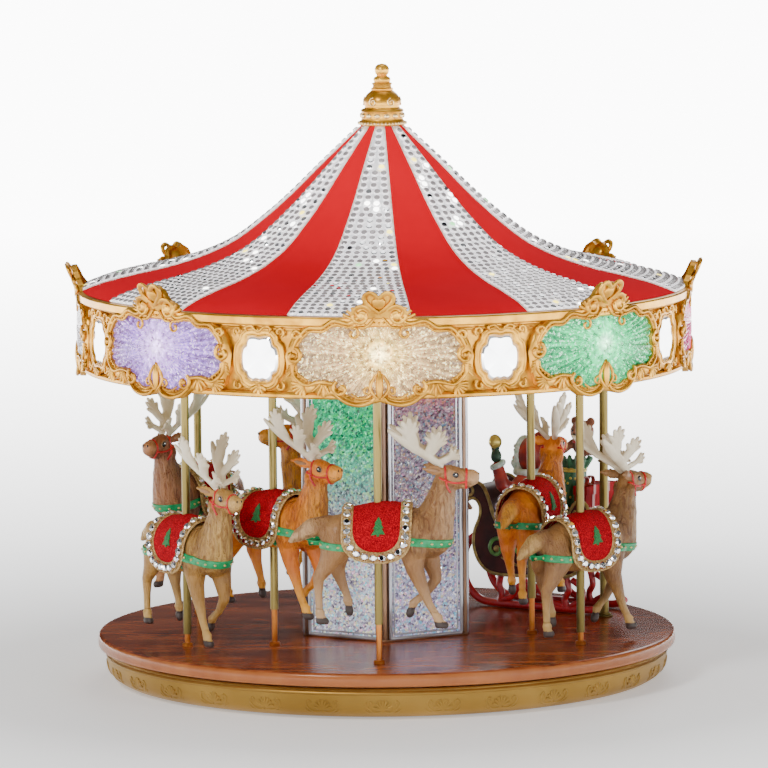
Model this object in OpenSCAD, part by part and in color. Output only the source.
// Carousel music box: a turning deck and canopy with eight rising reindeer and a sleigh.
// Millimetres, +Z up, origin on the spin axis at the rest plane, front towards -Y.

/* [Base] */
// outer radius of the plinth
base_r = 163.4; // [163:0.1:164.5]
// height of the plinth's top above the rest plane
base_h = 18.4; // [18:0.1:18.6]
// wall thickness of the plinth
base_wall = 2.4; // [1.6:0.2:3]

/* [Deck] */
// radius of the turntable deck
deck_r = 168.3; // [166:0.5:172]
// gap between plinth and deck
deck_gap = 1.5; // [1.3:0.1:1.9]
// skin thickness of the deck
deck_skin = 3; // [2:0.5:4]

/* [Column] */
// corner radius of the six-sided column
column_r = 53; // [48:0.5:54]
// width of the column's corner posts
corner_w = 9; // [6:1:14]

/* [Poles] */
// outside radius of the brass tubes
tube_r = 2.35; // [2.2:0.05:2.5]
// wall of the brass tubes
tube_wall = 0.6; // [0.4:0.05:0.65]
// length of the brass tubes
tube_len = 183.5; // [180:0.5:183.5]
// pole circle radius of the outer row
outer_row_r = 129.5; // [128.5:0.5:130.5]
// pole circle radius of the inner row
inner_row_r = 88; // [87.5:0.5:88.5]

/* [Canopy] */
// underside height of the canopy above the rest plane
canopy_z = 182; // [181.5:0.5:182]
// wall radius of the canopy ring
fascia_r = 173; // [172.5:0.1:173]
// height of the canopy ring
fascia_h = 45.8; // [45:0.2:46]
// thickness of the tent shell
tent_t = 2; // [1.2:0.2:2]

/* [Controls] */
// radius of the volume knob
knob_r = 4; // [3:0.25:4.25]
// radius of the song button
button_r = 3.2; // [2.5:0.1:3.4]

/* [Hidden] */

$fn = 96;
foot_h = 1.2;
cover_t = 2;
cover_top = foot_h + cover_t;
cover_r = 150;
deck_z0 = base_h + deck_gap;
deck_z1 = deck_z0 + 7.5;
ceiling_z0 = canopy_z + 2;
ceiling_z1 = ceiling_z0 + 2.5;
fascia_z1 = canopy_z + fascia_h;
post_r = 5;
run_fit = 0.06;
rod_fit = 0.07;
rod_r = tube_r - tube_wall - rod_fit;
rod_top = 90;
seat_fit = 0.02;

// drive train, module 1
drive_teeth = 90;
idler_teeth = 30;
pinion_teeth = 12;
idler_y = (drive_teeth + idler_teeth) / 2;
pinion_x = (idler_teeth + pinion_teeth) / 2;
gear_z0 = 8.6;
gear_w = 4.6;

// angle from the front, pole circle radius, rest height over the deck and heading of each reindeer
deer_place = [
  [-1, outer_row_r, 22.2, -1], [60, outer_row_r, 7, 44], [180, outer_row_r, 5.5, 180],
  [-120, outer_row_r, 20.8, -120], [-61, outer_row_r, 7, -56], [-46, inner_row_r, 20.8, -46],
  [74, inner_row_r, 20.8, 70], [194, inner_row_r, 20.8, 194]];

// tent profile: radius and height of the outer surface
tent = [[11.7, 321.5], [24.5, 309.5], [37.4, 297.2], [53, 282], [69, 268.2], [86, 255.8], [105, 247],
  [125, 241], [143, 237.2], [160, 233.2], [172, 229]];

module at_deer(i) {
  p = deer_place[i - 1];
  translate([p[1] * sin(p[0]), -p[1] * cos(p[0]), deck_z1 + p[2]]) rotate([0, 0, p[3]]) children();
}

module at_pole(i) {
  p = deer_place[i - 1];
  translate([p[1] * sin(p[0]), -p[1] * cos(p[0]), 0]) children();
}

module ring(ro, ri, z0, z1) {
  translate([0, 0, z0]) difference() {
    cylinder(r = ro, h = z1 - z0);
    translate([0, 0, -1]) cylinder(r = ri, h = z1 - z0 + 2);
  }
}

module hexagon(r) {
  rotate(30) circle(r = r, $fn = 6);
}

// a rod from a to b with round ends
module limb(a, b, ra, rb, n = 8) {
  hull() {
    translate(a) sphere(r = ra, $fn = n);
    translate(b) sphere(r = rb, $fn = n);
  }
}

// ---------- base ----------
foot_pos = [for (a = [45:90:315]) [136 * cos(a), 136 * sin(a)]];
screw_pos = [for (a = [0:60:300]) [142 * cos(a), 142 * sin(a)]];
port_z = 11.8;
knob_x = 30;
button_x = -30;

module base_shell() color([0.78, 0.6, 0.3]) difference() {
  rotate_extrude($fn = 144) polygon([[cover_r + 0.3, foot_h], [154.6, foot_h], [158.6, 2.6],
    [161.6, 5.2], [base_r, 9], [base_r, base_h], [58, base_h], [58, base_h - 2],
    [base_r - base_wall, base_h - 2], [base_r - base_wall, 9.4], [159.6, 6.8], [157, 4.9],
    [154, cover_top + 0.4], [cover_r + 0.3, cover_top + 0.4]]);
  translate([knob_x, base_r + 5, port_z]) rotate([90, 0, 0]) cylinder(r = knob_r + 0.5, h = 20);
  translate([button_x, base_r + 5, port_z]) rotate([90, 0, 0]) cylinder(r = button_r + 0.4, h = 20);
  translate([-5.6, base_r - 12, port_z - 4.1]) cube([11.2, 20, 8.2]);
}

module bottom_cover() color([0.12, 0.12, 0.12]) difference() {
  translate([0, 0, foot_h]) cylinder(r = cover_r, h = cover_t);
  for (p = screw_pos) translate([p[0], p[1], foot_h - 1]) cylinder(r = 1.6, h = cover_t + 2, $fn = 24);
  for (i = [-3:3]) translate([-81 + i * 5, 55, foot_h - 1]) cube([2, 30, cover_t + 2]);
}

module rubber_feet() color([0.1, 0.1, 0.1]) for (p = foot_pos)
  translate([p[0], p[1], 0]) cylinder(r = 8, h = foot_h, $fn = 48);

module cover_screws() color([0.6, 0.6, 0.62]) for (p = screw_pos) translate([p[0], p[1], 0]) {
  translate([0, 0, foot_h - 0.8]) cylinder(r = 3, h = 0.8, $fn = 24);
  translate([0, 0, foot_h - 0.4]) cylinder(r = 1.5, h = 6, $fn = 24);
}

module gear_2d(n, turn) {
  pr = n / 2;
  rotate(turn) union() {
    circle(r = pr - 1.2);
    for (i = [0:n - 1]) rotate(i * 360 / n) polygon([[pr - 1.6, -0.78], [pr, -0.56], [pr + 0.8, -0.3],
      [pr + 0.8, 0.3], [pr, 0.56], [pr - 1.6, 0.78]]);
  }
}

module drive_motor() color([0.7, 0.7, 0.72]) translate([pinion_x, idler_y, 0]) {
  translate([0, 0, cover_top]) cylinder(r = 13, h = 4.8);
  translate([0, 0, cover_top + 4]) cylinder(r = 1.5, h = 9, $fn = 24);
  translate([-pinion_x, 0, cover_top]) cylinder(r = 2, h = 11, $fn = 24);
  translate([-pinion_x - 2.5, -2.5, cover_top]) cube([pinion_x, 5, 2]);
}

module motor_pinion() color([0.9, 0.9, 0.85]) translate([pinion_x, idler_y, gear_z0]) difference() {
  linear_extrude(gear_w) gear_2d(pinion_teeth, 15);
  translate([0, 0, -1]) cylinder(r = 1.5 + run_fit, h = gear_w + 2, $fn = 24);
}

module idler_gear() color([0.9, 0.9, 0.85]) translate([0, idler_y, gear_z0]) difference() {
  linear_extrude(gear_w) gear_2d(idler_teeth, 0);
  translate([0, 0, -1]) cylinder(r = 2 + run_fit, h = gear_w + 2, $fn = 24);
}

module drive_gear() color([0.9, 0.9, 0.85]) difference() {
  union() {
    translate([0, 0, gear_z0]) linear_extrude(gear_w) gear_2d(drive_teeth, 2);
    translate([0, 0, 6.6]) cylinder(r = 14, h = deck_z0 - 6.6);
  }
  cylinder(r = post_r + run_fit, h = 40, $fn = 64);
}

module centre_post() color([0.72, 0.73, 0.75]) union() {
  translate([0, 0, cover_top]) cylinder(r = 18, h = 3);
  cylinder_between(post_r, cover_top, cam_top + 3);
}

module cylinder_between(r, z0, z1) {
  translate([0, 0, z0]) cylinder(r = r, h = z1 - z0, $fn = 64);
}

// ---------- wave cam ----------
cam_top = 238.3;
cam_arm_t = 1.6;
track_mid = deck_z1 + 13.2 + tube_len - 3.4;
track_amp = 9.6;
track_steps = 72;

function track_z(a) = track_mid + track_amp * cos(3 * a);

module wave_track(ri, ro) {
  n = track_steps;
  pts = [for (i = [0:n - 1]) for (q = [[ri, -1.6], [ro, -1.6], [ro, 0], [ri, 0]])
    let (a = i * 360 / n) [q[0] * sin(a), -q[0] * cos(a), track_z(a) + q[1]]];
  faces = [for (i = [0:n - 1]) for (k = [0:3]) for (h = [0, 1])
    let (j = (i + 1) % n, m = (k + 1) % 4)
    h == 0 ? [4 * i + k, 4 * i + m, 4 * j + m] : [4 * i + k, 4 * j + m, 4 * j + k]];
  polyhedron(points = pts, faces = faces, convexity = 6);
}

module wave_cam() color([0.92, 0.92, 0.9]) difference() {
  union() {
    for (w = [[81, 84.1], [122, 125.7]]) {
      ring(w[0] + 0.3, w[0] - 1.8, track_mid - track_amp - 3, cam_top);
      wave_track(w[0] - 0.5, w[1]);
    }
    for (a = [0:60:300]) rotate(a) translate([6, -4, cam_top - cam_arm_t]) cube([115, 8, cam_arm_t]);
    translate([0, 0, cam_top - 8]) cylinder(r = 11, h = 8);
  }
  translate([0, 0, cam_top - 20]) cylinder(r = post_r + seat_fit, h = 40, $fn = 64);
}

// ---------- sound and controls ----------
module speaker() color([0.2, 0.2, 0.22]) translate([-81, 70, cover_top]) difference() {
  union() {
    cylinder(r = 22, h = 2.5);
    cylinder(r1 = 19, r2 = 12, h = 7);
    cylinder(r = 10, h = 11);
  }
  translate([0, 0, -0.5]) cylinder(r1 = 17, r2 = 8, h = 6);
}

board_y = 138;
board_z = 5.2;
pot_y = 146;

module control_board() color([0.1, 0.4, 0.2]) difference() {
  union() {
    translate([-45, board_y - 14, board_z]) cube([90, 22, 1.6]);
    for (x = [-38, 36]) translate([x - 2, board_y - 12, cover_top]) cube([4, 4, board_z - cover_top]);
    translate([knob_x - 7, pot_y - 6, board_z + 0.5]) cube([14, 6, 10.4]);
    translate([button_x - 5, pot_y - 7, board_z + 0.5]) cube([10, 4, 9]);
    translate([-20, board_y - 11, board_z + 1]) cube([12, 8, 3]);
    translate([4, board_y - 11, board_z + 1]) cube([8, 8, 4]);
  }
  translate([knob_x, pot_y + 1, port_z]) rotate([90, 0, 0]) cylinder(r = 3 + run_fit, h = 6, $fn = 48);
}

module power_inlet() color([0.08, 0.08, 0.08]) union() {
  difference() {
    translate([-5.3, 146.4, port_z - 3.9]) cube([10.6, 16.6, 7.8]);
    translate([0, 164, port_z]) rotate([90, 0, 0]) cylinder(r = 2.8, h = 11, $fn = 48);
  }
  translate([0, 162, port_z]) rotate([90, 0, 0]) cylinder(r = 0.8, h = 10, $fn = 24);
}

module volume_knob() color([0.15, 0.15, 0.15]) translate([knob_x, 0, port_z]) difference() {
  union() {
    translate([0, base_r + 3.2, 0]) rotate([90, 0, 0]) cylinder(r = knob_r, h = 8.5);
    translate([0, base_r - 2, 0]) rotate([90, 0, 0]) cylinder(r = 3, h = base_r - 2 - pot_y + 4, $fn = 48);
  }
  translate([-0.5, base_r + 2.4, 0]) cube([1, 2, knob_r + 1]);
}

module song_button() color([0.6, 0.1, 0.12]) translate([button_x, 0, port_z]) union() {
  translate([0, base_r + 1.6, 0]) rotate([90, 0, 0]) cylinder(r = button_r, h = 7);
  translate([0, base_r - 4, 0]) rotate([90, 0, 0]) cylinder(r = 1.6, h = base_r - 4 - 144.7, $fn = 32);
}

// ---------- turntable ----------
module deck() color([0.5, 0.2, 0.1]) difference() {
  rotate_extrude($fn = 144) polygon([[post_r + 2, deck_z0], [20, deck_z0], [20, deck_z1 - deck_skin],
    [deck_r - 3, deck_z1 - deck_skin], [deck_r - 3, deck_z0], [deck_r - 0.4, deck_z0],
    [deck_r, deck_z0 + 0.4], [deck_r, deck_z1 - 1.6], [deck_r - 0.5, deck_z1 - 0.5],
    [deck_r - 1.6, deck_z1], [post_r + 2, deck_z1]]);
  for (i = [1:8]) at_pole(i) translate([0, 0, deck_z0]) cylinder(r = rod_r + seat_fit, h = 20, $fn = 32);
}

module guide_rods() color([0.75, 0.42, 0.2]) for (i = [1:8]) at_pole(i) {
  translate([0, 0, deck_z1 - deck_skin - 1]) cylinder(r = rod_r, h = rod_top - deck_z1 + deck_skin + 1, $fn = 32);
  translate([0, 0, deck_z1 - deck_skin - 2]) cylinder(r = 4, h = 2, $fn = 32);
}

module rod_collars() color([0.75, 0.42, 0.2]) for (i = [1:8]) at_pole(i) rotate_extrude($fn = 32)
  polygon([[rod_r + seat_fit, deck_z1], [3.2, deck_z1], [3.2, deck_z1 + 1.2], [2.6, deck_z1 + 2],
    [rod_r + seat_fit, deck_z1 + 2]]);

column_top = ceiling_z0;
plinth_h = 8.5;
head_h = 6;
window_w = column_r - corner_w;
panel_t = 3;
window_z0 = deck_z1 + plinth_h + 0.7;
window_h = column_top - head_h - 0.7 - window_z0;

module column_frame() color([0.4, 0.26, 0.17]) difference() {
  union() {
    translate([0, 0, deck_z1]) linear_extrude(column_top - deck_z1) hexagon(column_r - 1);
    translate([0, 0, deck_z1]) linear_extrude(plinth_h) hexagon(column_r);
    translate([0, 0, column_top - head_h]) linear_extrude(head_h) hexagon(column_r);
  }
  translate([0, 0, deck_z1 - 1]) linear_extrude(column_top - deck_z1 + 2) hexagon(column_r - 6);
  for (a = [0:60:300]) rotate(a) translate([20, -window_w / 2, window_z0]) cube([40, window_w, window_h]);
}

module column_panels() color([0.8, 0.85, 0.9]) for (a = [0:60:300]) rotate(a)
  translate([(column_r - 1) * cos(30) - panel_t - 0.8, 0.05 - window_w / 2, window_z0 + 0.05])
    cube([panel_t, window_w - 0.1, window_h - 0.1]);

module lamp_board() color([0.9, 0.9, 0.9]) union() {
  difference() {
    translate([0, 0, deck_z1]) linear_extrude(column_top - deck_z1) hexagon(14);
    translate([0, 0, deck_z1 - 1]) cylinder(r = 8, h = column_top);
  }
  for (a = [0:60:300]) rotate(a) for (z = [50:25:160]) translate([10, 0, z]) rotate([0, 90, 0])
    cylinder(r = 2.5, h = 5, $fn = 24);
}

// ---------- canopy ----------
module canopy_ceiling() color([0.86, 0.8, 0.7]) difference() {
  translate([0, 0, ceiling_z0]) cylinder(r = fascia_r - 3.2, h = ceiling_z1 - ceiling_z0, $fn = 144);
  translate([0, 0, ceiling_z0 - 1]) cylinder(r = post_r + 1, h = 10);
  for (i = [1:8]) at_pole(i) translate([0, 0, ceiling_z0 - 1]) cylinder(r = tube_r + 0.45, h = 6, $fn = 32);
}

// closed rococo outline of one cartouche, half width and half height factors
function scroll(t, a, b) = [a * sign(cos(t)) * pow(abs(cos(t)), 0.72) * (1 + 0.045 * cos(8 * t)),
  b * sign(sin(t)) * pow(abs(sin(t)), 0.8) * (1 + 0.05 * cos(8 * t))];

module cartouche_2d(a, b) {
  polygon([for (t = [0:9:351]) scroll(t, a, b)]);
}

lens_z = 203.5;
crest_r = 185.5;

// the shell a cartouche is cut from: it clears the ring's flanges and leans out at the crest
module shell_cut(r0, r1, crest) {
  rotate_extrude($fn = 144) polygon([[r0 + 2.5, canopy_z - 5], [r1, canopy_z - 5], [r1, fascia_z1 - 2],
    [crest, fascia_z1 + 8], [crest, 250], [crest - 4.5, 250], [crest - 4.5, fascia_z1 + 8],
    [177.55, fascia_z1 + 1], [177.55, fascia_z1 - 6.9], [r0, fascia_z1 - 6.9], [r0, canopy_z + 4.6],
    [r0 + 2.5, canopy_z + 3.3]]);
}

module facing(i, step) {
  rotate(i * step) translate([0, -150, lens_z]) rotate([90, 0, 0]) linear_extrude(60) children();
}

module cartouche_frames() color([0.83, 0.66, 0.36]) intersection() {
  shell_cut(fascia_r + 0.1, 181, crest_r);
  for (i = [0:7]) facing(i, 45) difference() {
    union() {
      cartouche_2d(50, 24);
      translate([0, 24]) polygon([[-20, 0], [-14, 8], [-9, 11], [-7, 9.5], [-2, 14], [0, 12.6], [2, 14],
        [7, 9.5], [9, 11], [14, 8], [20, 0], [12, -6], [-12, -6]]);
    }
    cartouche_2d(43, 18.4);
  }
}

module cartouche_lenses() color([0.85, 0.85, 0.9]) intersection() {
  shell_cut(fascia_r + 0.1, 178.6, crest_r);
  for (i = [0:7]) facing(i, 45) cartouche_2d(42.9, 18.3);
}

module shield_2d(s) {
  polygon([for (p = [[-11, 12], [-5, 15.5], [0, 14.5], [5, 15.5], [11, 12], [8, 6], [8.4, -4], [11.5, -10],
    [5, -14], [0, -13], [-5, -14], [-11.5, -10], [-8.4, -4], [-8, 6]]) [p[0] * s, p[1] * s]]);
}

module mirrors() color([0.9, 0.92, 0.95]) intersection() {
  ring(fascia_r + 1.2, fascia_r + 0.1, canopy_z, fascia_z1);
  for (i = [0:7]) rotate(22.5) facing(i, 45) shield_2d(0.98);
}

module fascia_ring() color([0.83, 0.66, 0.36]) union() {
  rotate_extrude($fn = 144) polygon([[fascia_r - 6, canopy_z], [fascia_r + 2.4, canopy_z],
    [fascia_r + 2.4, canopy_z + 3.2], [fascia_r, canopy_z + 4.4], [fascia_r, fascia_z1 - 6.6],
    [177.4, fascia_z1 - 6], [177.4, fascia_z1], [172.4, fascia_z1], [172.4, fascia_z1 - 0.84],
    [fascia_r - 3, fascia_z1 - 0.84], [fascia_r - 3, ceiling_z0], [fascia_r - 6, ceiling_z0]]);
  intersection() {
    ring(fascia_r + 2.6, fascia_r - 1, canopy_z + 3, fascia_z1 - 6.3);
    for (i = [0:7]) rotate(22.5) facing(i, 45) difference() {
      shield_2d(1.3);
      shield_2d(1);
    }
  }
}

module gore() {
  n = len(tent);
  rotate_extrude(angle = 22.5, $fn = 144) polygon(concat(tent,
    [for (k = [n - 1:-1:0]) [tent[k][0] - tent_t * 0.35, tent[k][1] - tent_t]]));
}

// the first silver gore is centred 5.6 degrees left of the front
module roof_silver() color([0.9, 0.9, 0.92]) for (i = [0:7]) rotate(-90 - 5.6 - 11.25 + i * 45) gore();

module roof_red() color([0.85, 0.1, 0.12]) for (i = [0:7]) rotate(-90 - 5.6 + 11.25 + i * 45) gore();

module finial() color([0.83, 0.66, 0.3]) rotate_extrude($fn = 64) polygon([[0, 317], [10.8, 317],
  [10.8, 321.6], [13.7, 321.6], [13.7, 324], [12.2, 325.4], [12.2, 329.6], [10.2, 331], [10.5, 335],
  [9.6, 338.6], [6.4, 341.4], [5.8, 342.4], [5.8, 345], [4.4, 346], [5, 347.4], [4.9, 349], [3, 350],
  [4.2, 352], [4.3, 353.8], [3.2, 355.9], [1.4, 357], [0, 357.2]]);

// ---------- poles ----------
module pole(i) color([0.68, 0.6, 0.38]) at_deer(i) difference() {
  union() {
    cylinder(r = tube_r, h = tube_len, $fn = 32);
    translate([0, 0, tube_len - 2]) rotate([-90, 0, 0]) cylinder(r = 1.9, h = tube_r + 0.9, $fn = 24);
  }
  translate([0, 0, -1]) cylinder(r = tube_r - tube_wall, h = tube_len - 2, $fn = 32);
}

// ---------- reindeer ----------
module barrel(g) {
  hull() {
    translate([-24, 0, 52]) sphere(r = 9.6 + g, $fn = 10);
    translate([-6, 0, 52.5]) sphere(r = 11.6 + g, $fn = 10);
    translate([10, 0, 54]) sphere(r = 12 + g, $fn = 10);
    translate([26, 0, 54]) sphere(r = 11.4 + g, $fn = 10);
  }
}

module leg(y, pts, rs) {
  for (k = [0:len(pts) - 2]) limb([pts[k][0], y, pts[k][1]], [pts[k + 1][0], y, pts[k + 1][1]],
    rs[k], rs[k + 1], 6);
}

module antler(s) {
  limb([36, s * 2, 89], [18, s * 10, 102], 2.2, 1.9, 6);
  limb([18, s * 10, 102], [5, s * 17, 114], 1.9, 1.4, 6);
  limb([14, s * 12, 104], [11, s * 15, 120], 1.6, 2, 6);
  limb([26, s * 7, 97], [31, s * 11, 111], 1.6, 2, 6);
  limb([36, s * 2, 90], [45, s * 5, 101], 1.7, 1.5, 6);
}

module reindeer(i) color([0.72, 0.52, 0.32]) at_deer(i) difference() {
  union() {
    barrel(0);
    hull() {
      translate([30, 0, 60]) sphere(r = 9.5, $fn = 8);
      translate([35, 0, 80]) sphere(r = 5.4, $fn = 8);
    }
    limb([38, 0, 86], [51, 0, 85], 5.2, 3.8, 8);
    leg(-5.5, [[-26, 44], [-31, 27], [-34, 7], [-31, 1.9]], [7, 3.4, 2, 1.9]);
    leg(5.5, [[-25, 44], [-20, 27], [-15.5, 13], [-14, 6]], [7, 3.4, 2, 1.9]);
    leg(-5.5, [[22, 46], [28, 19], [35, 7], [38, 1.9]], [6, 2.9, 2, 1.9]);
    leg(5.5, [[24, 46], [33, 27], [22, 15], [18, 6]], [6, 2.9, 2, 1.9]);
    limb([-31, 0, 56], [-43, 0, 49], 3.4, 1.6, 6);
    for (s = [-1, 1]) antler(s);
    for (s = [-1, 1]) limb([34, s * 4, 88], [27, s * 9, 90], 2, 1.4, 6);
  }
  translate([0, 0, 30]) cylinder(r = tube_r + seat_fit, h = 60, $fn = 32);
}

module saddle(i) color([0.75, 0.08, 0.12]) at_deer(i) difference() {
  intersection() {
    barrel(1.5);
    translate([0, 40, 0]) rotate([90, 0, 0]) linear_extrude(80) polygon([[-20, 80], [-22, 52], [-17, 41],
      [-10, 36.5], [-2, 35.5], [6, 38], [11, 43], [13.5, 52], [12, 80]]);
  }
  barrel(0.1);
  translate([0, 0, 30]) cylinder(r = tube_r + 0.3, h = 60, $fn = 32);
}

// ---------- sleigh ----------
sleigh_at = [92, 78];
sleigh_turn = 148;

module at_sleigh() {
  translate([sleigh_at[0], sleigh_at[1], deck_z1]) rotate(sleigh_turn) children();
}

module across(w) {
  translate([0, w / 2, 0]) rotate([90, 0, 0]) linear_extrude(w) children();
}

sleigh_w = 38;

module sleigh_side() {
  polygon([[-44, 62], [-47, 50], [-44, 36], [-38, 27], [-28, 22], [24, 21], [34, 26], [40, 36], [41, 48],
    [38, 56], [42, 64], [50, 66], [53, 71], [49, 76], [40, 76], [30, 66], [26, 54], [14, 47],
    [-6, 46], [-24, 52], [-34, 66]]);
}

module sleigh_body() color([0.32, 0.08, 0.1]) at_sleigh() difference() {
  across(sleigh_w) sleigh_side();
  across(sleigh_w - 4) polygon([[-41, 67], [-44, 50], [-41, 37], [-36, 29.5], [-27, 24.5], [23, 23.5],
    [32, 28], [37, 37], [38, 48], [34, 58], [31, 80], [-30, 80]]);
}

module runner_2d() {
  polygon([[-48, 0], [30, 0], [38, 2.6], [46, 9], [49.5, 17], [50, 25], [48.6, 34], [44.8, 33],
    [46, 25], [45.4, 18.4], [42.6, 11.6], [36, 6], [28, 3.6], [26, 3.6], [24, 12], [24, 20.8],
    [20, 20.8], [19, 12], [16, 3.6], [-20, 3.6], [-24, 12], [-24, 21.4], [-28, 21.9], [-29, 12],
    [-32, 3.6], [-46, 3.6]]);
}

module sleigh_runners() color([0.8, 0.08, 0.1]) at_sleigh() for (s = [-1, 1])
  translate([0, s * 14, 0]) across(4) runner_2d();

module driver() color([0.65, 0.08, 0.1]) at_sleigh() union() {
  hull() {
    translate([10, 0, 34]) scale([1, 1.15, 1]) sphere(r = 9, $fn = 14);
    translate([9, 0, 72]) scale([0.9, 1.3, 1]) sphere(r = 8, $fn = 14);
  }
  translate([8, 0, 90]) sphere(r = 10.5, $fn = 16);
  limb([7, 0, 94], [0, 0, 102], 6.5, 3, 10);
  limb([9, 9, 74], [12, 20, 71], 4.6, 4.2, 9);
  limb([12, 20, 71], [15, 24, 87], 4.2, 3.4, 9);
  translate([16, 25.5, 96]) sphere(r = 5, $fn = 10);
  limb([10, -9, 72], [18, -14, 60], 4.6, 3.8, 9);
  limb([18, -14, 60], [24, -11, 55], 3.8, 3.2, 9);
}

module toy_sack() color([0.1, 0.35, 0.18]) at_sleigh() union() {
  hull() {
    translate([-13, 2, 38]) sphere(r = 11.5, $fn = 14);
    translate([-20, 2, 72]) sphere(r = 9.6, $fn = 14);
  }
  limb([-23, 3, 80], [-31, 4, 99], 5, 4, 9);
  translate([-33, 4, 108]) sphere(r = 7, $fn = 12);
}

module gift_box() color([0.7, 0.08, 0.1]) at_sleigh() translate([-40, -16.5, 42]) union() {
  cube([8, 33, 33]);
  translate([-0.5, -0.3, 29]) cube([9, 33.6, 5]);
}

module sleigh_post() color([0.75, 0.6, 0.35]) translate([128, 38.3, deck_z1]) union() {
  cylinder(r = 2.6, h = ceiling_z0 - deck_z1, $fn = 32);
  cylinder(r = 3.2, h = 2, $fn = 32);
}

base_shell();
bottom_cover();
rubber_feet();
cover_screws();
drive_motor();
motor_pinion();
idler_gear();
centre_post();
wave_cam();
speaker();
control_board();
power_inlet();
volume_knob();
song_button();
deck();
drive_gear();
column_frame();
column_panels();
lamp_board();
guide_rods();
rod_collars();
sleigh_body();
sleigh_runners();
driver();
toy_sack();
gift_box();
sleigh_post();
canopy_ceiling();
fascia_ring();
cartouche_frames();
cartouche_lenses();
mirrors();
roof_red();
roof_silver();
finial();
pole(1);  // pole_1
pole(2);  // pole_2
pole(3);  // pole_3
pole(4);  // pole_4
pole(5);  // pole_5
pole(6);  // pole_6
pole(7);  // pole_7
pole(8);  // pole_8
reindeer(1);  // reindeer_1
reindeer(2);  // reindeer_2
reindeer(3);  // reindeer_3
reindeer(4);  // reindeer_4
reindeer(5);  // reindeer_5
reindeer(6);  // reindeer_6
reindeer(7);  // reindeer_7
reindeer(8);  // reindeer_8
saddle(1);  // saddle_1
saddle(2);  // saddle_2
saddle(3);  // saddle_3
saddle(4);  // saddle_4
saddle(5);  // saddle_5
saddle(6);  // saddle_6
saddle(7);  // saddle_7
saddle(8);  // saddle_8
